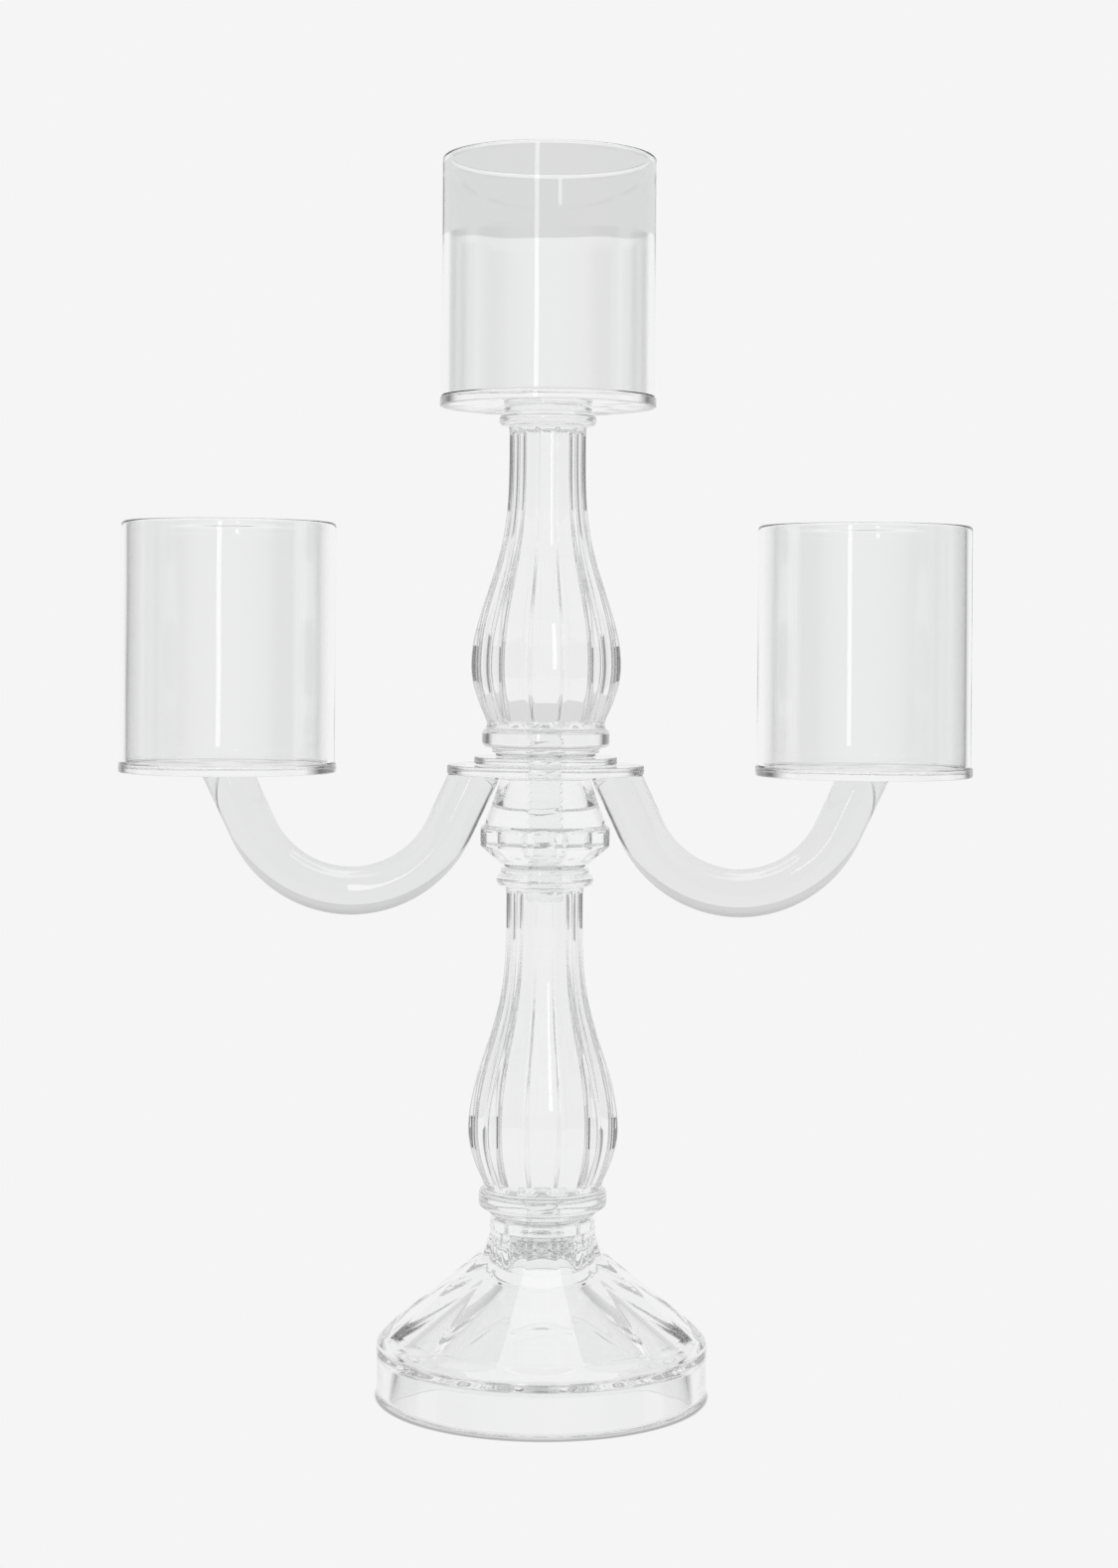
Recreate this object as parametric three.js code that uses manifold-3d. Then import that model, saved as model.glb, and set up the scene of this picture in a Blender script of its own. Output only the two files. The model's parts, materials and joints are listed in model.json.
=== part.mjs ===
// A three-light candelabrum of clear glass that screws together on clear studs.
// Millimetres, +Z up. The origin is the centre of the foot's underside, the arms lie along X,
// and a panel of the foot and a flute of each stem face -Y.
import * as THREE from "three";
import { mergeVertices } from "three/addons/utils/BufferGeometryUtils.js";
import Module from "manifold-3d";

const wasm = await Module();
wasm.setup();

// Clearances
const fitGap = 0.3; // between pieces that touch, and round a stud in its bore
const armClearance = 0.8; // between an arm and the hub, across X
const studEndRoom = 1; // between a stud's end and the end of its socket
const passThrough = 5; // how far a cutting tool runs past the face that it cuts

// Panels of the foot and the hub, and flutes of the stems
const panelCount = 12;
const columnsPerPanel = 4;
const smallRingSides = 32;
const studSides = 20;

// Foot: a panelled bell on a round rim, hollow underneath
const footRadius = 54;
const footHeight = 58;
const footNeckRadius = 17.7;
const footNeckLength = 3;
const footCoveRadius = 15;
const footCoveSweep = 50; // degrees
const rimHeight = 17.3;
const rimChamfer = 4.7;
const rimEdgeRound = 1.5;
const footFlare = 4.6; // how far the rim's top stands out from the panels' lower ends
const cavityNeckRadius = 12.5;
const cavityNeckBottom = 33;
const webThickness = 4.3; // glass above the hollow, which the stud passes through
const rimWall = 4.5;
const cavityShoulderHeight = 13;
const cavityShoulderInset = 5.5; // from the hollow's mouth to its shoulder, across X

// Baluster stems
const stemHeight = 112.8;
const stemFootRadius = 17.6;
const ringRadius = 21;
const ringHeight = 5.2;
const ringRound = 3;
const waistRadius = 19.4;
const waistHeight = 9;
const bulbRadius = 25.4;
const bulbHeight = 28.5;
const neckRadius = 13;
const taperPower = 2.3;
const beadRadius = 16;
const beadRound = 2.2;
const beadBelowTop = 4; // from the stem's top face to the middle of the bead
const stemTopRadius = 14.5;
const fluteDepth = 1.2; // at the bulb, in proportion to the radius elsewhere
const fluteEndFade = 2;

// Hub: a bell with a panelled skirt
const hubHeight = 27.8;
const hubBottomRadius = 14.7;
const hubFlareHeight = 1.4;
const hubFlareRadius = 16.3;
const skirtRadius = 21.8;
const skirtBottom = 5.8;
const skirtTop = 11.2;
const hubShoulderRadius = 19.2;
const hubShoulderHeight = 12.8;
const hubWaistRadius = 16.2;
const hubWaistHeight = 21.5;
const hubTopRadius = 13.2;

// Arm plate, collar ring, arms
const plateThickness = 3;
const plateOverhang = 0.3; // past the outer edge of the arms' ends
const collarRadius = 23.4;
const collarThickness = 2.3;
const rodRadius = 8;
const armLean = THREE.MathUtils.degToRad(25); // of each limb from the vertical
const armDrop = 38.4; // from the arm's ends down to the lowest point of its centre line
const rodSides = 20;
const armSteps = 26;

// Cups
const cupOffset = 104.2; // from the column's axis to a side cup's axis
const cupRadius = 35;
const cupWall = 2.3;
const cupWallHeight = 78.5;
const cupFloorThickness = 3;
const cupFloorOverhang = 0.5; // past the wall's outside

// Studs, their fittings and the gaskets
const studRadius = 4;
const socketDepth = 12;
const gasketThickness = 0.8;
const gasketInset = 1.2; // from the edge of the narrower face that a gasket lies on
const nutRoom = 0.4; // round the nut and the washer, inside the hollow's neck
const washerThickness = 1.2;
const nutHeight = 6;
const studPastNut = 2;

// Heights of the stack, from the foot up
const jointHeight = gasketThickness + 2 * fitGap;
const lowerStemZ = footHeight + jointHeight;
const hubZ = lowerStemZ + stemHeight + jointHeight;
const plateZ = hubZ + hubHeight + jointHeight;
const collarZ = plateZ + plateThickness + fitGap;
const upperStemZ = collarZ + collarThickness + jointHeight;
const topCupZ = upperStemZ + stemHeight + fitGap;
const boreRadius = studRadius + fitGap;

// Where an arm starts, clear of the hub's top and of its skirt, and the plate over both arms
const armEndZ = plateZ - fitGap;
const rodReach = rodRadius / Math.cos(armLean); // half the length of the rod's level end
const skirtReach = skirtRadius - (armEndZ - hubZ - skirtTop) * Math.tan(armLean);
const armStartX = Math.max(hubTopRadius, skirtReach) + armClearance + rodReach;
const plateRadius = armStartX + rodReach + plateOverhang;

// Points of a round stretch about [radius, height], angles in degrees from outwards to upwards
function arc(centreRadius, centreHeight, round, from, to, steps) {
  return Array.from({ length: steps + 1 }, (_, step) => {
    const angle = THREE.MathUtils.degToRad(from + ((to - from) * step) / steps);
    return [centreRadius + round * Math.cos(angle), centreHeight + round * Math.sin(angle)];
  });
}

// A solid of revolution about Z. The outline goes up the outside as [radius, height] pairs, and
// starts and ends on the axis or comes back down the inside.
function turned(outline, sides = panelCount * columnsPerPanel) {
  const points = outline.map(([radius, height]) => new THREE.Vector2(radius, height));
  if (points[0].x > 0) points.push(points[0].clone());
  return new THREE.LatheGeometry(points, sides).rotateX(Math.PI / 2);
}

function ring(outerRadius, innerRadius, height, sides) {
  return turned(
    [
      [innerRadius, 0],
      [outerRadius, 0],
      [outerRadius, height],
      [innerRadius, height],
    ],
    sides,
  );
}

function disc(radius, height, sides) {
  return turned(
    [
      [0, 0],
      [radius, 0],
      [radius, height],
      [0, height],
    ],
    sides,
  );
}

// Moves each point of a turned solid to newRadius(radius, height, across), where across runs from
// -0.5 to 0.5 from one arris of a panel to the next.
function pressed(geometry, newRadius) {
  const position = geometry.attributes.position;
  const panelAngle = (2 * Math.PI) / panelCount;
  for (let index = 0; index < position.count; index += 1) {
    const x = position.getX(index);
    const y = position.getY(index);
    const radius = Math.hypot(x, y);
    if (radius > 0) {
      const turn = Math.atan2(x, -y) / panelAngle;
      const across = turn - Math.round(turn);
      const scale = newRadius(radius, position.getZ(index), across) / radius;
      position.setXY(index, x * scale, y * scale);
    }
  }
  return geometry;
}

// The radius of a flat panel whose arrises lie on the given radius
function flatPanel(radius, across) {
  const halfAngle = Math.PI / panelCount;
  return (radius * Math.cos(halfAngle)) / Math.cos(2 * halfAngle * across);
}

// 1 between the two heights and 0 outside them, with a smooth change over fade
function between(height, low, high, fade) {
  const rise = THREE.MathUtils.smoothstep(height, low, low + fade);
  return rise * (1 - THREE.MathUtils.smoothstep(height, high - fade, high));
}

function toManifold(geometry) {
  const bare = geometry.clone();
  bare.deleteAttribute("normal");
  bare.deleteAttribute("uv");
  const merged = mergeVertices(bare);
  const corners = [];
  for (let index = 0; index < merged.index.count; index += 3) {
    const [a, b, c] = [0, 1, 2].map((corner) => merged.index.getX(index + corner));
    if (a !== b && b !== c && c !== a) corners.push(a, b, c);
  }
  return new wasm.Manifold(
    new wasm.Mesh({
      numProp: 3,
      vertProperties: new Float32Array(merged.attributes.position.array),
      triVerts: new Uint32Array(corners),
    }),
  );
}

// The body with the space of each tool cut away
function cut(body, ...tools) {
  const solid = tools.reduce((left, tool) => left.subtract(toManifold(tool)), toManifold(body));
  const mesh = solid.getMesh();
  const geometry = new THREE.BufferGeometry();
  geometry.setAttribute("position", new THREE.BufferAttribute(mesh.vertProperties, mesh.numProp));
  geometry.setIndex(new THREE.BufferAttribute(mesh.triVerts, 1));
  geometry.computeVertexNormals();
  return geometry;
}

function bore(from, to) {
  return disc(boreRadius, to - from, studSides).translate(0, 0, from);
}

function foot() {
  const neckBottom = footHeight - footNeckLength;
  const coveRadius = footNeckRadius + footCoveRadius;
  const panelEndRadius = footRadius - footFlare;
  const panelEndHeight = rimHeight + rimChamfer;
  const panels = [
    ...arc(coveRadius, neckBottom, footCoveRadius, 180 + footCoveSweep, 180, 6),
    [footNeckRadius, footHeight],
  ];
  const outside = [
    [0, 0],
    ...arc(footRadius - rimEdgeRound, rimEdgeRound, rimEdgeRound, -90, 0, 3),
    [footRadius, rimHeight],
    [panelEndRadius, panelEndHeight],
    [(panelEndRadius + panels[0][0]) / 2, (panelEndHeight + panels[0][1]) / 2],
    ...panels,
    [0, footHeight],
  ];
  const mouthRadius = footRadius - rimWall;
  const cavity = [
    [0, -passThrough],
    [mouthRadius, -passThrough],
    [mouthRadius, 0],
    [mouthRadius - cavityShoulderInset, cavityShoulderHeight],
    [cavityNeckRadius, cavityNeckBottom],
    [cavityNeckRadius, footHeight - webThickness],
    [0, footHeight - webThickness],
  ];
  const body = pressed(turned(outside), (radius, height, across) => {
    const share = between(height, rimHeight, footHeight + 1, rimChamfer);
    return THREE.MathUtils.lerp(radius, flatPanel(radius, across), share);
  });
  return cut(body, turned(cavity), bore(footHeight - webThickness - 1, footHeight + passThrough));
}

function stemOutline() {
  const beadHeight = stemHeight - beadBelowTop;
  const bulbSteps = 4;
  const taperSteps = 9;
  const outline = [
    [0, 0],
    [stemFootRadius, 0],
    ...arc(ringRadius - ringRound, ringHeight, ringRound, -55, 45, 4),
    [waistRadius, waistHeight],
  ];
  for (let step = 1; step <= bulbSteps; step += 1) {
    const share = step / bulbSteps;
    outline.push([
      THREE.MathUtils.lerp(waistRadius, bulbRadius, Math.sin((share * Math.PI) / 2)),
      THREE.MathUtils.lerp(waistHeight, bulbHeight, share),
    ]);
  }
  const taperTop = beadHeight - beadRound;
  for (let step = 1; step <= taperSteps; step += 1) {
    const share = step / taperSteps;
    const swell = ((1 + Math.cos(Math.PI * share)) / 2) ** taperPower;
    outline.push([
      THREE.MathUtils.lerp(neckRadius, bulbRadius, swell),
      THREE.MathUtils.lerp(bulbHeight, taperTop, share),
    ]);
  }
  outline.push(
    ...arc(beadRadius - beadRound, beadHeight, beadRound, -60, 60, 4),
    [stemTopRadius, stemHeight],
    [0, stemHeight],
  );
  return outline;
}

// The top socket is left out of a stem that carries a cup bonded to it.
function stem(hasTopSocket) {
  const fluteTop = stemHeight - beadBelowTop - beadRound;
  const body = pressed(turned(stemOutline()), (radius, height, across) => {
    const share = between(height, waistHeight, fluteTop, fluteEndFade);
    const depth = fluteDepth * (radius / bulbRadius) * (1 - (2 * across) ** 2);
    return radius - depth * share;
  });
  const sockets = [bore(-passThrough, socketDepth)];
  if (hasTopSocket) sockets.push(bore(stemHeight - socketDepth, stemHeight + passThrough));
  return cut(body, ...sockets);
}

function hub() {
  const outline = [
    [0, 0],
    [hubBottomRadius, 0],
    [hubFlareRadius, hubFlareHeight],
    [skirtRadius, skirtBottom],
    [skirtRadius, skirtTop],
    [hubShoulderRadius, hubShoulderHeight],
    [hubWaistRadius, hubWaistHeight],
    [hubTopRadius, hubHeight],
    [0, hubHeight],
  ];
  const body = pressed(turned(outline), (radius, height, across) => {
    const share = between(height, hubFlareHeight, hubWaistHeight, 1);
    return THREE.MathUtils.lerp(radius, flatPanel(radius, across), share);
  });
  return cut(body, bore(-passThrough, hubHeight + passThrough));
}

// The centre line of an arm in the XZ plane, from above its inner end to above its outer end:
// a straight limb, a bottom arc and a straight limb. X is measured from the column's axis.
class ArmPath extends THREE.Curve {
  constructor() {
    super();
    const sin = Math.sin(armLean);
    const cos = Math.cos(armLean);
    const halfSpan = (cupOffset - armStartX) / 2;
    this.bend = (cos * halfSpan - sin * armDrop) / (1 - sin);
    this.limb = (armDrop * cos - halfSpan * (1 - sin)) / (1 - sin) + passThrough;
    this.centreX = (cupOffset + armStartX) / 2;
    this.centreZ = armEndZ - armDrop + this.bend;
    this.halfSweep = Math.PI / 2 - armLean;
  }

  getPoint(share, target = new THREE.Vector3()) {
    const halfArc = this.bend * this.halfSweep;
    const along = (share - 0.5) * 2 * (halfArc + this.limb);
    const side = Math.sign(along);
    const angle = Math.min(Math.abs(along) / this.bend, this.halfSweep);
    const straight = Math.max(Math.abs(along) - halfArc, 0);
    const x = this.bend * Math.sin(angle) + straight * Math.sin(armLean);
    const z = straight * Math.cos(armLean) - this.bend * Math.cos(angle);
    return target.set(this.centreX + side * x, 0, this.centreZ + z);
  }
}

// A bent rod whose two ends are cut level
function arm() {
  const section = new THREE.Shape().absarc(0, 0, rodRadius, 0, 2 * Math.PI);
  const rod = new THREE.ExtrudeGeometry(section, {
    steps: armSteps,
    curveSegments: rodSides / 2,
    extrudePath: new ArmPath(),
  });
  const cutSize = 2 * (cupOffset + cupRadius);
  const above = new THREE.BoxGeometry(cutSize, cutSize, cutSize);
  return cut(rod, above.translate(0, 0, armEndZ + cutSize / 2));
}

function nut() {
  const corner = cavityNeckRadius - nutRoom;
  const hexagon = new THREE.Shape(
    Array.from({ length: 6 }, (_, index) => {
      const angle = (index * Math.PI) / 3;
      return new THREE.Vector2(corner * Math.cos(angle), corner * Math.sin(angle));
    }),
  );
  hexagon.holes.push(new THREE.Path().absarc(0, 0, boreRadius, 0, 2 * Math.PI, true));
  return new THREE.ExtrudeGeometry(hexagon, {
    depth: nutHeight,
    bevelEnabled: false,
    curveSegments: studSides / 2,
  });
}

function glass() {
  return new THREE.MeshStandardMaterial({
    color: 0xeef2f2,
    roughness: 0.04,
    metalness: 0,
    transparent: true,
    opacity: 0.35,
  });
}

function clearPlastic() {
  return new THREE.MeshStandardMaterial({
    color: 0xe6e9e8,
    roughness: 0.18,
    metalness: 0,
    transparent: true,
    opacity: 0.5,
  });
}

function place(parent, name, geometry, material, z = 0) {
  const mesh = new THREE.Mesh(geometry, material);
  mesh.name = name;
  mesh.position.z = z;
  parent.add(mesh);
}

function gasket(lowerFaceRadius, upperFaceRadius) {
  const radius = Math.min(lowerFaceRadius, upperFaceRadius) - gasketInset;
  return ring(radius, boreRadius, gasketThickness, smallRingSides);
}

// A flat floor disc with a straight tube standing on it
function addCup(parent, side, z) {
  place(parent, `${side}_cup_floor`, disc(cupRadius + cupFloorOverhang, cupFloorThickness), glass(), z);
  const wall = ring(cupRadius, cupRadius - cupWall, cupWallHeight);
  place(parent, `${side}_cup_wall`, wall, glass(), z + cupFloorThickness + fitGap);
}

function base() {
  const group = new THREE.Group();
  const washerZ = footHeight - webThickness - fitGap - washerThickness;
  const nutZ = washerZ - fitGap - nutHeight;
  const studZ = nutZ - studPastNut;
  const studTop = lowerStemZ + socketDepth - studEndRoom;
  const footTopRadius = flatPanel(footNeckRadius, 0);
  place(group, "foot", foot(), glass());
  place(group, "foot_nut", nut(), clearPlastic(), nutZ);
  place(
    group,
    "foot_washer",
    ring(cavityNeckRadius - nutRoom, boreRadius, washerThickness, smallRingSides),
    clearPlastic(),
    washerZ,
  );
  place(group, "foot_stud", disc(studRadius, studTop - studZ, studSides), clearPlastic(), studZ);
  const footGasket = gasket(footTopRadius, stemFootRadius);
  place(group, "foot_gasket", footGasket, clearPlastic(), footHeight + fitGap);
  place(group, "lower_stem", stem(true), glass(), lowerStemZ);
  const hubGasket = gasket(stemTopRadius, hubBottomRadius);
  place(group, "hub_gasket", hubGasket, clearPlastic(), hubZ - fitGap - gasketThickness);
  place(group, "hub", hub(), glass(), hubZ);
  const plateGasket = gasket(hubTopRadius, hubTopRadius);
  place(group, "plate_gasket", plateGasket, clearPlastic(), plateZ - fitGap - gasketThickness);
  const centreStudZ = lowerStemZ + stemHeight - socketDepth + studEndRoom;
  const centreStudLength = upperStemZ + socketDepth - studEndRoom - centreStudZ;
  const centreStud = disc(studRadius, centreStudLength, studSides);
  place(group, "centre_stud", centreStud, clearPlastic(), centreStudZ);
  return group;
}

function armAssembly() {
  const group = new THREE.Group();
  place(group, "arm_plate", ring(plateRadius, boreRadius, plateThickness), glass(), plateZ);
  place(group, "collar_ring", ring(collarRadius, boreRadius, collarThickness), glass(), collarZ);
  for (const [index, side] of ["right", "left"].entries()) {
    const branch = new THREE.Group();
    branch.rotation.z = index * Math.PI;
    place(branch, `${side}_arm`, arm(), glass());
    const cup = new THREE.Group();
    cup.position.x = cupOffset;
    addCup(cup, side, plateZ);
    branch.add(cup);
    group.add(branch);
  }
  return group;
}

function upperColumn() {
  const group = new THREE.Group();
  const stemGasket = gasket(collarRadius, stemFootRadius);
  place(group, "stem_gasket", stemGasket, clearPlastic(), upperStemZ - fitGap - gasketThickness);
  place(group, "upper_stem", stem(false), glass(), upperStemZ);
  addCup(group, "top", topCupZ);
  return group;
}

const candelabrum = new THREE.Group();
candelabrum.add(base(), armAssembly(), upperColumn());

export default candelabrum;
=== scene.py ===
"""A three-light candelabrum of clear glass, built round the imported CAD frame."""

import json
import math

import bpy
import numpy as np
from mathutils import Matrix, Vector


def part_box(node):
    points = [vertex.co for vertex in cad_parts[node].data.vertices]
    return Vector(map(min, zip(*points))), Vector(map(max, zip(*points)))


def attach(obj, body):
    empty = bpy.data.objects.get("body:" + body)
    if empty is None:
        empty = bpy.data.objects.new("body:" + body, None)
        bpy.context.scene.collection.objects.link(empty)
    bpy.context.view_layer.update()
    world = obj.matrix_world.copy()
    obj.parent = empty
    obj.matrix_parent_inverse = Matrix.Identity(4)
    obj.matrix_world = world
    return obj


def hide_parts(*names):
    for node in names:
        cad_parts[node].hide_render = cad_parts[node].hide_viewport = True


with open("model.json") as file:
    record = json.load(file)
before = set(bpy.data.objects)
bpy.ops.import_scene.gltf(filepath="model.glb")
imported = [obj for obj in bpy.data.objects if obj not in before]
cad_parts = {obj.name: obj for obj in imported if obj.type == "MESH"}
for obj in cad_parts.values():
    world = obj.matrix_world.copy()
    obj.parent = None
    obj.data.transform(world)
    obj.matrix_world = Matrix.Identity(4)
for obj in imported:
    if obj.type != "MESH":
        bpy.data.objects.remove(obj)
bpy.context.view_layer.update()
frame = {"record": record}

MM = 0.001
TAU = 2 * math.pi

# Detail of the meshes
FLUTED_COLUMNS = 288  # round a stem, the hub or the foot
ROUND_COLUMNS = 192  # round a cup, the plate or the collar ring
SMALL_COLUMNS = 96  # round a gasket, washer or stud
NUT_COLUMNS = 180
ROD_COLUMNS = 96
ROD_STEPS = 150  # along an arm

# Flutes of the stems and panels of the hub and the foot, in mm
PANELS = 12
ARRIS_ROUND = 0.1  # share of half a panel that the arris is rounded over
FLUTE_DEPTH = 1.7
FLUTE_END_BOW = 1.3  # a flute's ends are rounded by this much
FLUTE_END_RUN = 1.2  # and run out over this much

# The sizes that the CAD pieces' boxes don't give, in mm. Heights are above the piece's own foot.
# Cups, plate and rings
CUP_WALL = 2.3
CUP_FOOT_ROUND = 0.25
CUP_WAVE = 0.03
CUP_SEAT = 0.35  # depth of the cemented band round a cup floor's rim
DISC_EDGE = 0.4  # roundness of a cup floor's and the collar ring's edges
PLATE_EDGE = 0.5
GASKET_EDGE = 0.3
HOLE_EDGE = 0.15

# Bores, studs and nut
BORE = 4.3
SOCKET_DEPTH = 12.0
SOCKET_ROUND = 1.5
THREAD_PITCH = 3.0
THREAD_DEPTH = 0.55
STUD_CHAMFER = 1.0
NUT_CHAMFER = 1.0
NUT_FACE_INSET = 0.4  # from a nut's flats to the round edge of its end faces
NUT_BORE_CHAMFER = 0.5

# Stems
STEM_FOOT_RADIUS = 17.6
STEM_RING_RADIUS = 21.0
STEM_RING_SPAN = (1.8, 7.7)  # heights of its lower and upper edge
STEM_RING_ROUND = (1.7, 1.9)  # of those edges
STEM_WAIST = (19.4, 9.0)  # radius, height
STEM_BULB = (25.4, 28.5)
STEM_NECK_RADIUS = 13.0
STEM_TAPER_POWER = 2.3
STEM_BEAD = (16.0, 4.0, 2.2)  # radius, depth below the stem's top, roundness
STEM_BEAD_SWEEP = 62  # degrees up and down from outwards
STEM_TOP_RADIUS = 14.5
STEM_TOP_BAND = 1.4

# Hub: radius, height and roundness of its corners
HUB_CORNERS = ((14.7, 0, 0.4), (16.3, 1.4, 0.8), (21.8, 5.8, 1.6), (21.8, 11.2, 1.4), (20.0, 12.6, 0.4))
HUB_TOP = (14.6, 0.5)  # radius, roundness
HUB_PANELS_START = (1.6, 3.4)  # heights that the panels fade in between
HUB_PANELS_END = (10.4, 12.0)
HUB_ROUND_RADIUS = 12  # the hub stays round inside this

# Foot
FOOT_RIM_HEIGHT = 17.3
FOOT_SHOULDER = (4.6, 22.0)  # inwards from the rim, height
FOOT_SLOPE_TOP = (23.2, 43.5)
FOOT_COVE_RADIUS = 15
FOOT_COVE_TOP = 3  # below the foot's top
FOOT_NECK_RADIUS = 17.7
FOOT_PANELS_END = (19.6, 20.8)  # heights that the panels fade in between, at their middles
HOLLOW_ROOF = 4.3  # below the foot's top
HOLLOW_NECK = (12.5, 33)  # radius, height of its lower end
HOLLOW_SHOULDER = (45.5, 12.5)
HOLLOW_EDGE = 6.4  # inwards from the rim, where the hollow ends
RING_MIDDLE = 4.0  # inwards from the rim, on the ring that the foot stands on

# Arms
ARM_LEAN = math.radians(25)
ARM_SQUEEZE = 0.015  # share of its radius that a rod loses in its bend
ARM_TIP_START = 0.35  # share of an arm's straight part where its end starts to tip over
ARM_EDGE = 0.3

# Choosing the cemented faces
ON_SEAT = 0.05  # a face this near a seat's plane lies on it
IN_BORE = 0.4  # a face's middle this far outside BORE still belongs to the bore


def node_box(name):
    """Lowest and highest corner of a CAD node, in mm."""
    low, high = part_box(name)
    return Vector(low) / MM, Vector(high) / MM


# ---------------------------------------------------------------- outlines

def arc(centre, radius, start, end, steps):
    """Points round a centre, angles in degrees from outwards to upwards."""
    angles = np.radians(np.linspace(start, end, steps + 1))
    return [(centre[0] + radius * math.cos(a), centre[1] + radius * math.sin(a)) for a in angles]


def filleted(corners, closed=False, steps=6):
    """Rounds each (radius, height, roundness) corner of an outline. A guard point beyond each end of
    a round keeps the flat stretches flat when the mesh is shaded smooth."""
    points = []
    count = len(corners)
    for index, (radius, height, roundness) in enumerate(corners):
        here = Vector((radius, height))
        if roundness == 0 or (not closed and index in (0, count - 1)):
            points.append(tuple(here))
            continue
        back = Vector(corners[index - 1][:2]) - here
        ahead = Vector(corners[(index + 1) % count][:2]) - here
        half = back.angle(ahead) / 2
        reach = roundness / math.tan(half)
        back_way, ahead_way = back.normalized(), ahead.normalized()
        centre = here + (back_way + ahead_way).normalized() * roundness / math.sin(half)
        first = here + back_way * reach - centre
        last = here + ahead_way * reach - centre
        swept = first.angle_signed(last)
        guard_back = min(1.5 * reach, 0.5 * (reach + back.length / 2))
        guard_ahead = min(1.5 * reach, 0.5 * (reach + ahead.length / 2))
        points.append(tuple(here + back_way * guard_back))
        for step in range(steps + 1):
            points.append(tuple(centre + Matrix.Rotation(-swept * step / steps, 2) @ first))
        points.append(tuple(here + ahead_way * guard_ahead))
    return points


def resampled(points, spacing):
    """The same outline with a point at least every spacing mm along it."""
    made = [points[0]]
    for start, end in zip(points, points[1:]):
        gap = math.dist(start, end)
        pieces = max(1, math.ceil(gap / spacing))
        for piece in range(1, pieces + 1):
            share = piece / pieces
            made.append(tuple(a + (b - a) * share for a, b in zip(start, end)))
    return made


# ---------------------------------------------------------------- meshes

def add(name, data):
    """A new object in the scene, with this mesh, light or camera."""
    made = bpy.data.objects.new(name, data)
    bpy.context.scene.collection.objects.link(made)
    return made


def add_piece(name, vertices, faces):
    """A smooth mesh from vertices in mm."""
    mesh = bpy.data.meshes.new(name)
    mesh.from_pydata((np.asarray(vertices) * MM).tolist(), [], faces)
    mesh.validate()
    mesh.shade_smooth()
    return add(name, mesh)


def skin_faces(rows, columns, closed):
    """Quads between the rings of a grid of vertices, facing out where the rings go up."""
    faces = []
    for row in range(rows if closed else rows - 1):
        above = (row + 1) % rows
        for column in range(columns):
            beside = (column + 1) % columns
            faces.append((row * columns + column, row * columns + beside,
                          above * columns + beside, above * columns + column))
    return faces


def capped_faces(rows, columns):
    """A skin of rows rings, closed by a point at each end. The two points follow the rings' vertices."""
    faces = skin_faces(rows, columns, False)
    bottom = rows * columns
    top = bottom + 1
    last = bottom - columns
    for column in range(columns):
        beside = (column + 1) % columns
        faces.append((bottom, beside, column))
        faces.append((top, last + column, last + beside))
    return faces


def revolved(name, outside, inside=(), columns=ROUND_COLUMNS, shape=None, centre=(0, 0)):
    """A closed solid round a vertical axis. outside goes up from (radius, height) to (radius, height),
    in mm, and shape(radius, height, angle) may move it in or out. inside comes back down as given.
    With no inside, outside starts and ends on the axis, where a single point closes it. Angle 0
    faces -Y."""
    angle = np.arange(columns) * TAU / columns
    outline = np.array([*outside, *inside], float)
    radius = np.repeat(outline[:, :1], columns, 1)
    height = np.repeat(outline[:, 1:], columns, 1)
    if shape:
        rows = len(outside)
        radius[:rows] = shape(radius[:rows], height[:rows], angle[None, :])
    across = centre[0] + radius * np.sin(angle)
    deep = centre[1] - radius * np.cos(angle)
    vertices = np.stack([across, deep, height], -1).reshape(-1, 3)
    if inside:
        return add_piece(name, vertices, skin_faces(len(outline), columns, True))
    body = vertices[columns:-columns]
    ends = [(*centre, outline[0][1]), (*centre, outline[-1][1])]
    return add_piece(name, np.vstack([body, ends]), capped_faces(len(outline) - 2, columns))


def across_panel(angle):
    """0 in the middle of a panel and 1 at its two arrises, which are rounded."""
    turn = angle * PANELS / TAU
    return np.abs(2 * (turn - np.round(turn)))


def rounded_square(share):
    """share squared, levelled off near 1 so that an arris is not knife-sharp."""
    start = 1 - ARRIS_ROUND
    crest = start - (start / ARRIS_ROUND) * (1 - share) ** 2
    return np.where(share < start, share**2, crest)


def smooth_step(value, low, high):
    """0 up to low, 1 from high on and an S curve between them."""
    share = np.clip((value - low) / (high - low), 0, 1)
    return share * share * (3 - 2 * share)


def waves(height, angle, size, seed):
    """Slow unevenness of fire-polished glass, up to about size mm, the same on every run."""
    random = np.random.default_rng(seed)
    total = np.zeros(np.broadcast(height, angle).shape)
    for turns in (2, 3, 5, 7, 9):
        phase, climb = random.uniform(0, TAU), random.uniform(0.03, 0.12)
        total += np.sin(turns * angle + phase + climb * height) / 5
    return size * total


# ---------------------------------------------------------------- materials

GLASS_IOR = 1.5
PATCH_SCALE = 40.0  # of the changes in tint
GLOSS_SCALE = 90.0  # of the changes in gloss


def new_material(name):
    material = bpy.data.materials.new(name)
    material.use_nodes = True
    return material, material.node_tree.nodes, material.node_tree.links


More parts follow.
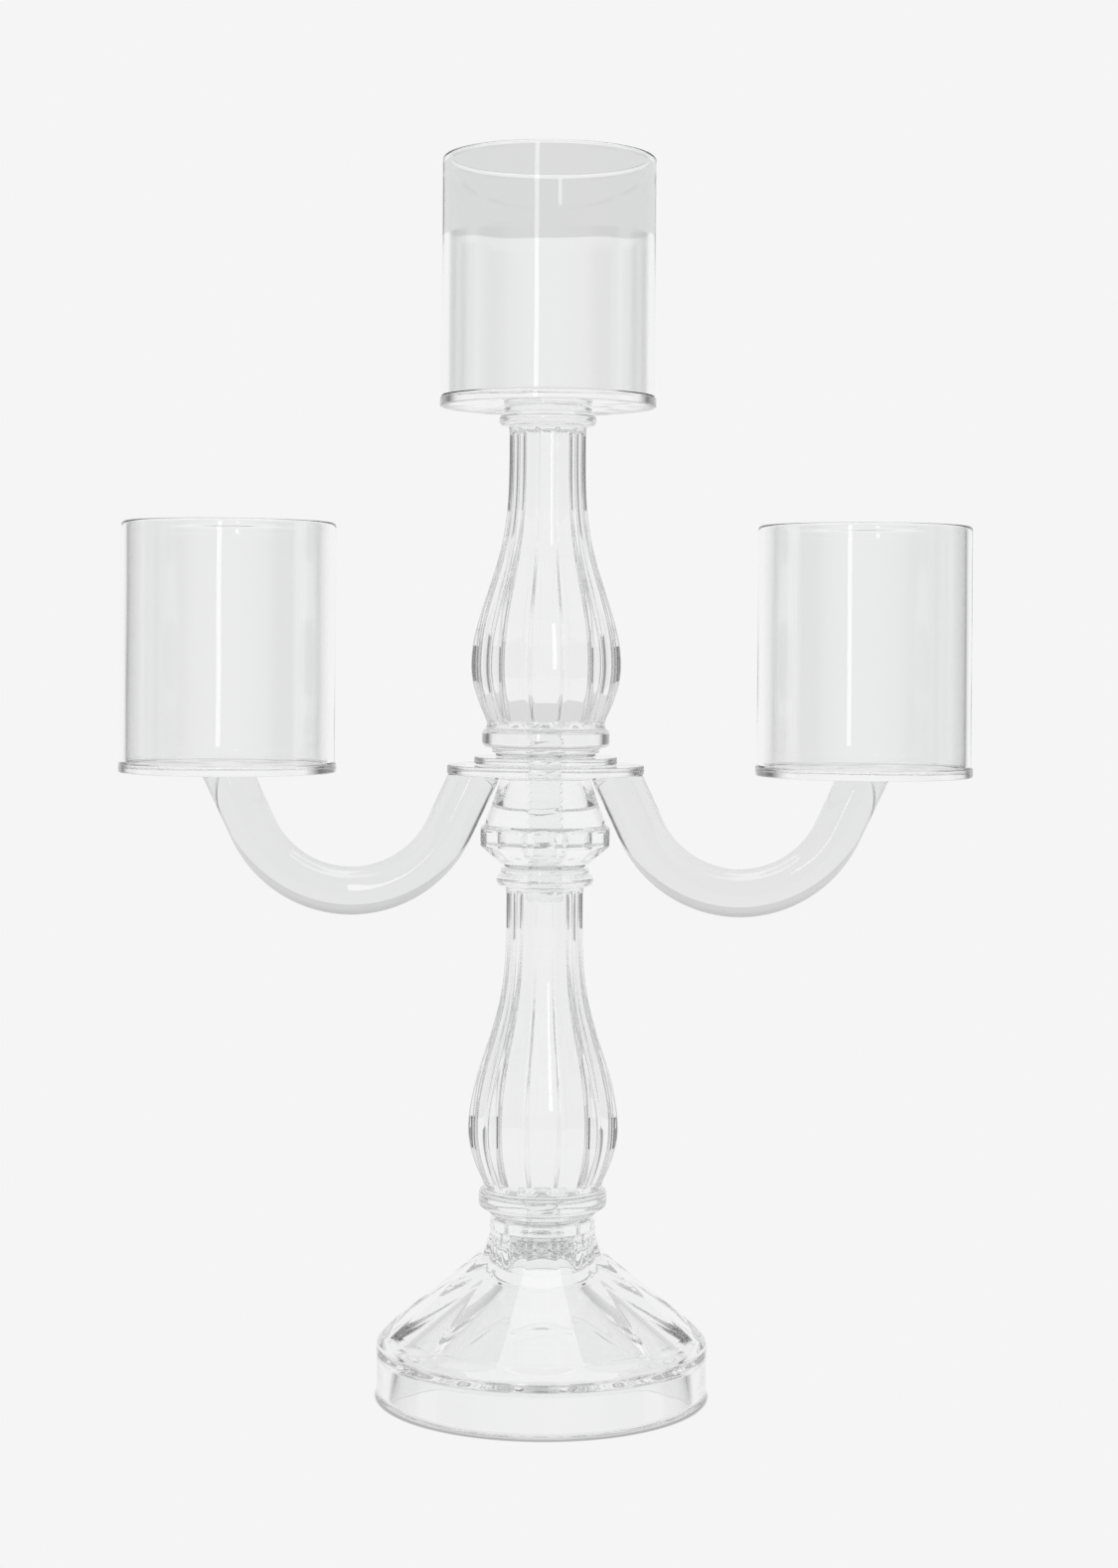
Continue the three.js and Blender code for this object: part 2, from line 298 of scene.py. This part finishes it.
def ranged_noise(nodes, links, coordinates, scale, low, high, detail=3.0):
    """A noise pattern in the piece's own coordinates, as a number between low and high."""
    noise = nodes.new("ShaderNodeTexNoise")
    noise.inputs["Scale"].default_value = scale
    noise.inputs["Detail"].default_value = detail
    links.new(coordinates, noise.inputs["Vector"])
    spread = nodes.new("ShaderNodeMapRange")
    spread.inputs["From Min"].default_value = 0.3
    spread.inputs["From Max"].default_value = 0.7
    spread.inputs["To Min"].default_value = low
    spread.inputs["To Max"].default_value = high
    links.new(noise.outputs["Fac"], spread.inputs["Value"])
    return spread.outputs["Result"]


def tinted(nodes, links, factor, first, second):
    """A colour between two by a factor."""
    mix = nodes.new("ShaderNodeMix")
    mix.data_type = "RGBA"
    links.new(factor, mix.inputs[0])
    mix.inputs[6].default_value = (*first, 1)
    mix.inputs[7].default_value = (*second, 1)
    return mix.outputs[2]


def stretched(nodes, links, stretch):
    """The piece's own coordinates in metres, scaled along each axis."""
    coordinates = nodes.new("ShaderNodeTexCoord")
    mapping = nodes.new("ShaderNodeMapping")
    mapping.inputs["Scale"].default_value = stretch
    links.new(coordinates.outputs["Object"], mapping.inputs["Vector"])
    return mapping.outputs["Vector"]


def clear_material(name, ior, stretch, ripple_scale, ripple, tint, roughness):
    """Clear stuff with swirls or streaks along the stretched axis, a faint tint that varies between two
    colours, and a roughness that varies between two values. ripple is the depth of the streaks in m."""
    material, nodes, links = new_material(name)
    shader = nodes["Principled BSDF"]
    place = stretched(nodes, links, stretch)
    shader.inputs["Transmission Weight"].default_value = 1.0
    shader.inputs["IOR"].default_value = ior
    shader.inputs["Metallic"].default_value = 0.0
    patchy = ranged_noise(nodes, links, place, PATCH_SCALE, 0.0, 1.0)
    links.new(tinted(nodes, links, patchy, *tint), shader.inputs["Base Color"])
    links.new(ranged_noise(nodes, links, place, GLOSS_SCALE, *roughness), shader.inputs["Roughness"])
    bump = nodes.new("ShaderNodeBump")
    bump.inputs["Strength"].default_value = 1.0
    bump.inputs["Distance"].default_value = ripple
    links.new(ranged_noise(nodes, links, place, ripple_scale, 0.0, 1.0, 1.0), bump.inputs["Height"])
    links.new(bump.outputs["Normal"], shader.inputs["Normal"])
    return material


def pressed_glass():
    """Thick glass from a mould: fire-polished, with soft swirls."""
    return clear_material("pressed_glass", ior=GLASS_IOR, stretch=(1, 1, 0.6),
                          ripple_scale=55.0, ripple=0.00006, roughness=(0.01, 0.04),
                          tint=((0.945, 0.95, 0.95), (0.965, 0.965, 0.965)))


def bright_glass():
    """The clearest glass here: the hub and the flat discs and rings."""
    return clear_material("bright_glass", ior=GLASS_IOR, stretch=(1, 1, 1),
                          ripple_scale=70.0, ripple=0.00003, roughness=(0.0, 0.01),
                          tint=((0.985, 0.99, 0.99), (1.0, 1.0, 1.0)))


def drawn_tube_glass():
    """Thin drawn tube: fine streaks up the tube."""
    return clear_material("drawn_tube_glass", ior=GLASS_IOR, stretch=(1, 1, 0.08),
                          ripple_scale=60.0, ripple=0.00003, roughness=(0.0, 0.008),
                          tint=((0.965, 0.97, 0.97), (0.98, 0.98, 0.98)))


def rod_glass():
    """Solid drawn rod, bent in a flame: long soft streaks along the bend."""
    return clear_material("rod_glass", ior=GLASS_IOR, stretch=(0.4, 1, 0.4),
                          ripple_scale=60.0, ripple=0.00005, roughness=(0.01, 0.035),
                          tint=((0.85, 0.855, 0.855), (0.88, 0.88, 0.88)))


def gasket_plastic():
    """Soft clear washers between the glass pieces, a little milky."""
    return clear_material("gasket_plastic", ior=1.44, stretch=(1, 1, 1),
                          ripple_scale=120.0, ripple=0.00003, roughness=(0.04, 0.12),
                          tint=((0.88, 0.89, 0.89), (0.94, 0.94, 0.94)))


def nut_plastic():
    """The foot's nut and washer, of a harder and glossier plastic than the gaskets, a little smoky."""
    return clear_material("nut_plastic", ior=1.47, stretch=(1, 1, 1),
                          ripple_scale=120.0, ripple=0.00003, roughness=(0.02, 0.06),
                          tint=((0.86, 0.86, 0.86), (0.91, 0.91, 0.91)))


def stud_plastic():
    """The studs. Their index is near that of the cement round them, so only a faint grey rod shows."""
    return clear_material("stud_plastic", ior=1.06, stretch=(1, 1, 1),
                          ripple_scale=120.0, ripple=0.00003, roughness=(0.0, 0.02),
                          tint=((0.93, 0.935, 0.935), (0.96, 0.96, 0.96)))


def bonded_surface():
    """A cemented face. The gap next to it is drawn as air, and this index hides both of its sides."""
    return clear_material("bonded_surface", ior=1.03, stretch=(1, 1, 1),
                          ripple_scale=120.0, ripple=0.00003, roughness=(0.0, 0.02),
                          tint=((0.985, 0.985, 0.985), (1.0, 1.0, 1.0)))


# ---------------------------------------------------------------- placing

def bond(piece, is_bonded):
    """Gives the cemented faces their own material. is_bonded takes a face's middle, in mm."""
    piece.data.materials.append(bonded)
    for face in piece.data.polygons:
        if is_bonded(face.center / MM):
            face.material_index = 1


def in_bore(point):
    """Whether a face of a piece on the column's axis belongs to its bore or socket."""
    return math.hypot(point.x, point.y) < BORE + IN_BORE


def bond_cup_seat(wall, floor, node):
    """Cements the wall's lower edge to the floor's rim."""
    low, high = node_box(node)
    middle, reach = (low.x + high.x) / 2, (high.x - low.x) / 2 - CUP_WALL
    bond(wall, lambda point: point.z < low.z + ON_SEAT)

    def under_wall(point):
        return point.z > low.z - CUP_SEAT and math.hypot(point.x - middle, point.y) > reach

    bond(floor, under_wall)


def put(piece, node, material):
    """The piece takes the place of its CAD node and rides on that node's body."""
    bodies = frame["record"]["behaviour"]["bodies"]
    body = next(body for body, members in bodies.items() if node in members)
    piece.data.materials.append(material)
    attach(piece, body)
    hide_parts(node)
    return piece


# ---------------------------------------------------------------- cups, plate, collar

def cup_wall(node, seed):
    """A straight tube with a round rim and a nearly square foot."""
    low, high = node_box(node)
    outer = (high.x - low.x) / 2
    inner = outer - CUP_WALL
    middle = outer - CUP_WALL / 2
    rim = arc((middle, high.z - CUP_WALL / 2), CUP_WALL / 2, 0, 180, 16)
    foot = filleted([(inner, low.z + 2, 0), (inner, low.z, CUP_FOOT_ROUND),
                     (outer, low.z, CUP_FOOT_ROUND), (outer, low.z + 2, 0)])
    outside = resampled([*foot[len(foot) // 2:], *rim[:9]], spacing=1.5)
    inside = resampled([*rim[9:], *foot[:len(foot) // 2]], spacing=1.5)

    def uneven(radius, height, angle):
        # Only inwards, so that the tube stays in the CAD piece's box.
        return radius - CUP_WAVE + waves(height, angle, CUP_WAVE, seed)

    centre = ((low.x + high.x) / 2, 0)
    return revolved(node + "_glass", outside, inside, shape=uneven, centre=centre)


def cup_floor(node):
    """A disc with rounded edges."""
    low, high = node_box(node)
    radius = (high.x - low.x) / 2
    outline = filleted([(0, low.z, 0), (radius, low.z, DISC_EDGE),
                        (radius, high.z, DISC_EDGE), (0, high.z, 0)])
    centre = ((low.x + high.x) / 2, 0)
    return revolved(node + "_glass", resampled(outline, spacing=1.2), centre=centre)


def flat_ring(node, edge, columns=ROUND_COLUMNS):
    """A disc round a stud, with rounded edges."""
    low, high = node_box(node)
    radius = (high.x - low.x) / 2
    outline = filleted([(BORE, low.z, HOLE_EDGE), (radius, low.z, edge),
                        (radius, high.z, edge), (BORE, high.z, HOLE_EDGE)], closed=True)
    quarter = len(outline) // 4
    outside = outline[quarter:3 * quarter]
    inside = [*outline[3 * quarter:], *outline[:quarter]]
    return revolved(node + "_piece", outside, inside, columns)


# ---------------------------------------------------------------- stems, hub, foot

def stem_outside(foot_z, top_z):
    """Outline of a stem from its foot to its top, in mm."""
    ring_low, ring_high = STEM_RING_SPAN
    round_low, round_high = STEM_RING_ROUND
    waist_radius, waist_height = STEM_WAIST
    bulb_radius, bulb_height = STEM_BULB
    bead_radius, bead_depth, bead_round = STEM_BEAD
    height = top_z - foot_z
    bead_height = height - bead_depth
    taper_top = bead_height - bead_round
    outline = filleted([(BORE, 0, 0), (STEM_FOOT_RADIUS, 0, 0.5), (STEM_FOOT_RADIUS + 0.2, ring_low, 0.4),
                        (STEM_RING_RADIUS, ring_low, round_low), (STEM_RING_RADIUS, ring_high, round_high),
                        (waist_radius, ring_high + 0.3, 0)])[1:-1]
    for share in np.linspace(0, 1, 15):
        swell = math.sin(share * math.pi / 2)
        outline.append((waist_radius + (bulb_radius - waist_radius) * swell,
                        waist_height + (bulb_height - waist_height) * share))
    for share in np.linspace(0, 1, 49)[1:]:
        swell = ((1 + math.cos(math.pi * share)) / 2) ** STEM_TAPER_POWER
        outline.append((STEM_NECK_RADIUS + (bulb_radius - STEM_NECK_RADIUS) * swell,
                        bulb_height + (taper_top - bulb_height) * share))
    bead_centre = (bead_radius - bead_round, bead_height)
    outline += arc(bead_centre, bead_round, -STEM_BEAD_SWEEP, STEM_BEAD_SWEEP, 12)
    outline += filleted([(STEM_TOP_RADIUS, height - STEM_TOP_BAND, 0),
                         (STEM_TOP_RADIUS, height, 0.4), (BORE, height, 0)])[:-1]
    return [(radius, foot_z + up) for radius, up in outline]


def socket_outline(mouth_z):
    """The wall of a socket that opens downwards, from its closed end to its mouth."""
    mouth = [(BORE + 3, mouth_z), (BORE + 0.6, mouth_z), (BORE, mouth_z + 0.6), (BORE, mouth_z + 1.2)]
    end_centre = (BORE - SOCKET_ROUND, mouth_z + SOCKET_DEPTH - SOCKET_ROUND)
    end = arc(end_centre, SOCKET_ROUND, 0, 90, 5)
    return [*mouth, *end, (0, mouth_z + SOCKET_DEPTH)][::-1]


def stem(node, has_top_socket):
    """A fluted baluster with a socket for a stud in its foot and, if asked, one in its top."""
    low, high = node_box(node)
    height = high.z - low.z
    waist_height, flute_top = STEM_WAIST[1], height - STEM_BEAD[1] - STEM_BEAD[2]

    def fluted(radius, level, angle):
        share = across_panel(angle)
        up = level - low.z
        hollow = FLUTE_DEPTH * (radius / STEM_BULB[0]) * (1 - rounded_square(share))
        start = waist_height + FLUTE_END_BOW * share**2
        end = flute_top - FLUTE_END_BOW * share**2
        begun = smooth_step(up, start, start + FLUTE_END_RUN)
        ended = smooth_step(up, end - FLUTE_END_RUN, end)
        return np.where(radius > STEM_NECK_RADIUS - 1, radius - hollow * (begun * (1 - ended)), radius)

    lower_socket = socket_outline(low.z)
    if has_top_socket:
        top = [(radius, low.z + high.z - level) for radius, level in lower_socket][::-1]
    else:
        top = [(BORE, high.z), (0, high.z)]
    side = resampled(stem_outside(low.z, high.z), spacing=1.0)
    outline = [*lower_socket, *side, *top]
    return revolved(node + "_glass", outline, columns=FLUTED_COLUMNS, shape=fluted)


def panel_radius(radius, angle):
    """Distance from the axis to a flat panel whose arrises lie on the radius, less a rounded arris."""
    half = math.pi / PANELS
    share = across_panel(angle)
    flat = radius * math.cos(half) / np.cos(half * np.minimum(share, 1))
    soften = radius * (1 - math.cos(half)) * ARRIS_ROUND
    return flat - soften * smooth_step(share, 1 - 2 * ARRIS_ROUND, 1)


def hub():
    """A cone that widens upwards to a skirt of flat panels and closes again under the arm plate."""
    low, high = node_box("hub")
    height = high.z - low.z
    top_radius, top_round = HUB_TOP
    corners = filleted([(BORE, 0, 0), *HUB_CORNERS, (top_radius, height, top_round), (BORE, height, 0)])
    outside = resampled([(radius, low.z + up) for radius, up in corners], spacing=0.8)

    def panelled(radius, level, angle):
        up = level - low.z
        reach = smooth_step(up, *HUB_PANELS_START) * (1 - smooth_step(up, *HUB_PANELS_END))
        return radius + (panel_radius(radius, angle) - radius) * reach * (radius > HUB_ROUND_RADIUS)

    inside = [(BORE, low.z + up) for up in np.linspace(height - 0.1, 0.1, 12)]
    return revolved("hub_glass", outside, inside, FLUTED_COLUMNS, panelled)


def foot_outside(rim, height):
    """Outline of the foot from the ring it stands on, over the rim and up the slope to its neck."""
    shoulder_inset, shoulder_height = FOOT_SHOULDER
    bell = filleted([(rim - RING_MIDDLE, 0, 0), (rim, 0, 1.5), (rim, FOOT_RIM_HEIGHT, 2.2),
                     (rim - shoulder_inset, shoulder_height, 3.0), (*FOOT_SLOPE_TOP, 0)], steps=10)
    cove_centre = (FOOT_NECK_RADIUS + FOOT_COVE_RADIUS, height - FOOT_COVE_TOP)
    cove = arc(cove_centre, FOOT_COVE_RADIUS, 230, 180, 18)
    top = filleted([(FOOT_NECK_RADIUS, height - 2, 0), (FOOT_NECK_RADIUS, height, 0.5), (BORE, height, 0)])
    return resampled(bell[:-1] + cove + top, spacing=0.9)


def foot_inside(rim, height):
    """Outline of the stud's bore and the hollow, from the top down to the ring."""
    roof = height - HOLLOW_ROOF
    neck_radius, neck_foot = HOLLOW_NECK
    hollow = filleted([(BORE, roof, 0), (neck_radius, roof, 0.4), (neck_radius, neck_foot, 2.5),
                       (*HOLLOW_SHOULDER, 2.5), (rim - HOLLOW_EDGE, 0, 2.0), (rim - RING_MIDDLE, 0, 0)],
                      steps=10)
    return [(BORE, height - 0.4), *resampled(hollow, spacing=1.5)[:-1]]


def foot():
    """A bell of twelve panels over a plain round rim, hollow underneath."""
    low, high = node_box("foot")
    rim = (high.x - low.x) / 2
    height = high.z

    def panelled(radius, level, angle):
        share = across_panel(angle)
        # A panel's lower end droops in its middle, where the flat runs out of the round shoulder.
        begin, full = FOOT_PANELS_END
        fade = smooth_step(level, begin + share**2, full + share**2)
        return radius + (panel_radius(radius, angle) - radius) * fade * (radius > BORE + 1)

    return revolved("foot_glass", foot_outside(rim, height), foot_inside(rim, height),
                    FLUTED_COLUMNS, panelled)


# ---------------------------------------------------------------- arms

def rod_ring(rod, middle, out, way, straight, limb):
    """A ring round the rod's middle. out points outwards from the bend and way along the rod."""
    # A bent rod flattens a little on the outside of its bend.
    squeeze = 1 - ARM_SQUEEZE * (1 - min(1, straight / limb))
    turn = np.arange(ROD_COLUMNS) * TAU / ROD_COLUMNS
    radial = rod * squeeze * np.cos(turn)
    x = middle.x + out.x * radial
    y = rod * np.sin(turn)
    z = middle.y + out.y * radial
    # Towards an end the ring tips over until it lies level with the end face.
    tip = smooth_step(straight, limb * ARM_TIP_START, limb)
    slide = (middle.y - z) * tip / way.y if abs(way.y) > 1e-6 else 0 * z
    return np.stack([x + way.x * slide, y, z + way.y * slide], -1)


def rod_end(ring, rod, end_z):
    """Rings that close a level end over a small round, with one guard ring and one further in."""
    middle = ring.mean(0)
    steps = ((0, ARM_EDGE), (0.3 * ARM_EDGE, 0.3 * ARM_EDGE), (ARM_EDGE, 0), (2 * ARM_EDGE, 0), (3, 0))
    rings = []
    for inset, below in steps:
        scaled = middle + (ring - middle) * (1 - inset / rod)
        scaled[:, 2] = end_z - below
        rings.append(scaled)
    return rings


def arm(node, side):
    """A rod that leans out from the plate, round a bend and out to the cup, with level ends."""
    low, high = node_box(node)
    cup_low, cup_high = node_box(f"{side}_cup_floor")
    rod = (high.y - low.y) / 2
    start = min(abs(low.x), abs(high.x)) + rod / math.cos(ARM_LEAN)
    end = abs(cup_low.x + cup_high.x) / 2
    half_span = (end - start) / 2
    drop = high.z - low.z - rod
    lean_sin, lean_cos = math.sin(ARM_LEAN), math.cos(ARM_LEAN)
    # Bend radius and straight length that join the span and the drop at this lean.
    bend = (lean_cos * half_span - lean_sin * drop) / (1 - lean_sin)
    limb = (drop * lean_cos - half_span * (1 - lean_sin)) / (1 - lean_sin)
    centre = Vector(((start + end) / 2, high.z - drop + bend))
    half_arc = bend * (math.pi / 2 - ARM_LEAN)
    rings = []
    for along in np.linspace(-half_arc - limb, half_arc + limb, ROD_STEPS):
        side_sign = math.copysign(1, along)
        angle = min(abs(along) / bend, math.pi / 2 - ARM_LEAN) * side_sign
        straight = max(abs(along) - half_arc, 0)
        way = Vector((math.cos(angle), math.sin(angle)))
        out = Vector((math.sin(angle), -math.cos(angle)))
        middle = centre + bend * out
        middle += way * straight * side_sign
        rings.append(rod_ring(rod, middle, out, way, straight, limb))
    inner_end, outer_end = rod_end(rings[0], rod, high.z), rod_end(rings[-1], rod, high.z)
    rings = [*inner_end[::-1], *rings[1:-1], *outer_end]
    vertices = np.vstack([*rings, rings[0].mean(0), rings[-1].mean(0)])
    faces = capped_faces(len(rings), ROD_COLUMNS)
    if side == "left":
        vertices[:, 0] *= -1
        faces = [face[::-1] for face in faces]
    return add_piece(node + "_glass", vertices, faces)


# ---------------------------------------------------------------- fittings

def gasket(node):
    """A thin washer."""
    return flat_ring(node, GASKET_EDGE, SMALL_COLUMNS)


def stud(node):
    """A threaded stud with chamfered ends."""
    low, high = node_box(node)
    radius = (high.x - low.x) / 2
    tip = radius - STUD_CHAMFER
    side = resampled([(radius, low.z + STUD_CHAMFER), (radius, high.z - STUD_CHAMFER)],
                     spacing=THREAD_PITCH / 12)

    def threaded(across, level, angle):
        turn = level / THREAD_PITCH - angle / TAU
        ridge = np.abs(2 * (turn - np.round(turn)))
        depth = THREAD_DEPTH * smooth_step(ridge, 0.25, 0.75)
        return across - np.where(across > tip, depth, 0)

    outline = [(0, low.z), (tip, low.z), *side, (tip, high.z), (0, high.z)]
    return revolved(node + "_piece", outline, columns=SMALL_COLUMNS, shape=threaded)


def nut():
    """A hexagon nut whose corners are turned off at both ends."""
    low, high = node_box("foot_nut")
    corner = (high.x - low.x) / 2
    flat = corner * math.cos(math.pi / 6)

    def hexagonal(radius, level, angle):
        turn = (angle - math.pi / 2) * 6 / TAU
        off_middle = turn - np.floor(turn) - 0.5
        return np.minimum(radius, flat / np.cos(off_middle * TAU / 6))

    face = flat - NUT_FACE_INSET
    wide = BORE + NUT_BORE_CHAMFER
    corners = [(BORE, low.z, 0), (face, low.z, 0.1), (corner, low.z + NUT_CHAMFER, 0.2),
               (corner, high.z - NUT_CHAMFER, 0.2), (face, high.z, 0.1), (BORE, high.z, 0)]
    outside = resampled(filleted(corners)[1:-1], spacing=0.5)
    inside = [(wide, high.z), (BORE, high.z - NUT_BORE_CHAMFER),
              (BORE, low.z + NUT_BORE_CHAMFER), (wide, low.z)]
    return revolved("foot_nut_piece", outside, inside, NUT_COLUMNS, hexagonal)


# ---------------------------------------------------------------- build

pressed = pressed_glass()
tube = drawn_tube_glass()
bent_rod = rod_glass()
bright = bright_glass()
soft_plastic = gasket_plastic()
hard_plastic = nut_plastic()
faint_plastic = stud_plastic()
bonded = bonded_surface()

bond(put(foot(), "foot", pressed), in_bore)
bond(put(stem("lower_stem", True), "lower_stem", pressed), in_bore)
bond(put(stem("upper_stem", False), "upper_stem", pressed), in_bore)
bond(put(hub(), "hub", bright), in_bore)
bond(put(flat_ring("arm_plate", PLATE_EDGE), "arm_plate", bright), in_bore)
bond(put(flat_ring("collar_ring", DISC_EDGE), "collar_ring", bright), in_bore)
for number, side in enumerate(("left", "right", "top")):
    wall = put(cup_wall(f"{side}_cup_wall", number), f"{side}_cup_wall", tube)
    floor = put(cup_floor(f"{side}_cup_floor"), f"{side}_cup_floor", bright)
    bond_cup_seat(wall, floor, f"{side}_cup_wall")
arm_top = node_box("left_arm")[1].z
for side in ("left", "right"):
    bent = put(arm(f"{side}_arm", side), f"{side}_arm", bent_rod)
    bond(bent, lambda point: point.z > arm_top - ON_SEAT)
for name in ("foot_gasket", "hub_gasket", "plate_gasket", "stem_gasket"):
    put(gasket(name), name, soft_plastic)
for name in ("foot_stud", "centre_stud"):
    put(stud(name), name, faint_plastic)
put(gasket("foot_washer"), "foot_washer", hard_plastic)
put(nut(), "foot_nut", hard_plastic)


# ---------------------------------------------------------------- stage, in metres

PALE = 0.913  # of the floor and of the air behind the object, linear
WALL_RADIUS = 1.0
WALL_HEIGHT = 0.524
FLOOR_DEPTH = 0.0002  # below the foot, so that the two faces don't lie in one plane

# Brightness of the floor by its distance from the axis: a darker ring where the rim stands on it, a
# painted shadow of the foot on the floor's glow.
FLOOR_GLOW_AND_PAINTED_SHADOW = ((0.049, 1), (0.051, 0.5), (0.0538, 0.5), (0.0547, 1), (0.056, 1))

# Brightness of the wall from in front of the object (-1) to behind it (1). On each side two dark bands,
# with a lighter window between them, draw the edges of the glass.
WALL_GLOW = ((-1, 0.7), (-0.75, 0.55), (-0.55, 0.18), (-0.2, 0.18), (-0.13, 0.75),
             (0.13, 0.75), (0.2, 0.18), (0.6, 0.18), (0.74, 1), (1, 1))

# Brightness of the room over the wall, by how far up a ray goes: 1 is straight up.
ROOM_GLOW = ((-1, 0.8), (0.5, 0.8), (0.8, 0.6), (1, 0.3))

CAMERA_PLACE = (0.0041, -0.895, 0.248)
CAMERA_ROLL = math.radians(0.4)
CAMERA_LENS = 62.7
CAMERA_SHIFT = -0.0944


def circle(radius, height, count):
    """Points in metres."""
    angles = np.arange(count) * TAU / count
    return [(radius * math.cos(a), radius * math.sin(a), height) for a in angles]


def ramp(nodes, links, source, stops):
    """A grey level for a number between the first and the last stop's."""
    first, last = stops[0][0], stops[-1][0]
    spread = nodes.new("ShaderNodeMapRange")
    spread.inputs["From Min"].default_value = first
    spread.inputs["From Max"].default_value = last
    links.new(source, spread.inputs["Value"])
    levels = nodes.new("ShaderNodeValToRGB")
    elements = levels.color_ramp.elements
    while len(elements) < len(stops):
        elements.new(0.5)
    for element, (position, level) in zip(elements, stops):
        element.position = (position - first) / (last - first)
        element.color = (level, level, level, 1)
    links.new(spread.outputs["Result"], levels.inputs["Fac"])
    return levels.outputs["Color"]


def glowing(name, measure, stops):
    """A material that gives light. measure makes the number, from a place, that the stops go by."""
    material, nodes, links = new_material(name)
    nodes.remove(nodes["Principled BSDF"])
    glow = nodes.new("ShaderNodeEmission")
    coordinates = nodes.new("ShaderNodeTexCoord")
    number = measure(nodes, links, coordinates.outputs["Object"])
    links.new(ramp(nodes, links, number, stops), glow.inputs["Color"])
    glow.inputs["Strength"].default_value = PALE
    links.new(glow.outputs["Emission"], nodes["Material Output"].inputs["Surface"])
    return material


def distance_from_middle(nodes, links, place):
    length = nodes.new("ShaderNodeVectorMath")
    length.operation = "LENGTH"
    links.new(place, length.inputs[0])
    return length.outputs["Value"]


def front_to_back(nodes, links, place):
    split = nodes.new("ShaderNodeSeparateXYZ")
    links.new(place, split.inputs["Vector"])
    return split.outputs["Y"]


def add_floor():
    """An even pale floor that gives its own light, with a narrow darker ring painted under the foot's rim
    as its shadow.
    """
    mesh = bpy.data.meshes.new("floor")
    mesh.from_pydata(circle(WALL_RADIUS, 0, 64), [], [tuple(range(64))])
    # The floor's glow holds a painted shadow: a darker ring under the foot's rim.
    mesh.materials.append(glowing("pale_floor_painted_shadow", distance_from_middle, FLOOR_GLOW_AND_PAINTED_SHADOW))
    floor = add("floor", mesh)
    floor.location.z = -FLOOR_DEPTH


def add_wall():
    """A round studio wall that only the glass sees: white behind the object, greyer in front of it and
    banded at its sides."""
    mesh = bpy.data.meshes.new("wall")
    sides = 96
    corners = [*circle(WALL_RADIUS, 0, sides), *circle(WALL_RADIUS, WALL_HEIGHT, sides)]
    mesh.from_pydata(corners, [], skin_faces(2, sides, False))
    mesh.materials.append(glowing("studio_wall", front_to_back, WALL_GLOW))
    wall = add("wall", mesh)
    wall.visible_camera = False


def add_camera():
    """Level camera in front of the object, a little above its middle, with a lens shift."""
    data = bpy.data.cameras.new("camera")
    data.lens = CAMERA_LENS
    data.shift_y = CAMERA_SHIFT
    data.clip_start = 0.05
    data.clip_end = 50
    camera = add("camera", data)
    level = Matrix.Rotation(math.radians(90), 4, "X")
    roll = Matrix.Rotation(CAMERA_ROLL, 4, "Z")
    camera.matrix_world = Matrix.Translation(CAMERA_PLACE) @ level @ roll
    bpy.context.scene.camera = camera


def add_light(name, place, target, size, power):
    """A rectangular light that is seen in reflections, but not through glass."""
    data = bpy.data.lights.new(name, "AREA")
    data.shape = "RECTANGLE"
    data.size, data.size_y = size
    data.energy = power
    light = add(name, data)
    light.location = place
    light.rotation_euler = (Vector(target) - Vector(place)).to_track_quat("-Z", "Y").to_euler()
    light.visible_transmission = False


def studio_world():
    """Even and pale for the camera. Over the wall the glass sees a greyer room and a dark ceiling."""
    world = bpy.data.worlds.new("studio")
    bpy.context.scene.world = world
    world.use_nodes = True
    nodes, links = world.node_tree.nodes, world.node_tree.links
    background = nodes["Background"]
    coordinates = nodes.new("ShaderNodeTexCoord")
    split = nodes.new("ShaderNodeSeparateXYZ")
    links.new(coordinates.outputs["Generated"], split.inputs["Vector"])
    room = ramp(nodes, links, split.outputs["Z"], ROOM_GLOW)
    rays = nodes.new("ShaderNodeLightPath")
    seen = nodes.new("ShaderNodeMix")
    seen.data_type = "RGBA"
    links.new(rays.outputs["Is Camera Ray"], seen.inputs[0])
    links.new(room, seen.inputs[6])
    seen.inputs[7].default_value = (1, 1, 1, 1)
    links.new(seen.outputs[2], background.inputs["Color"])
    background.inputs["Strength"].default_value = PALE


add_floor()
add_wall()
add_camera()
studio_world()
add_light("strip", place=(-0.135, -0.60, 0.38), target=(0, 0, 0.38), size=(0.05, 0.38), power=0.205)
add_light("softbox", place=(0, 0, 1.4), target=(0, 0, 0), size=(1.8, 1.0), power=11.0)
scene = bpy.context.scene
scene.view_settings.view_transform = "Standard"
# Light passes many glass faces on its way. Fewer glossy bounces than this blacken the foot's sides.
scene.cycles.max_bounces = 64
scene.cycles.transmission_bounces = 64
scene.cycles.glossy_bounces = 24
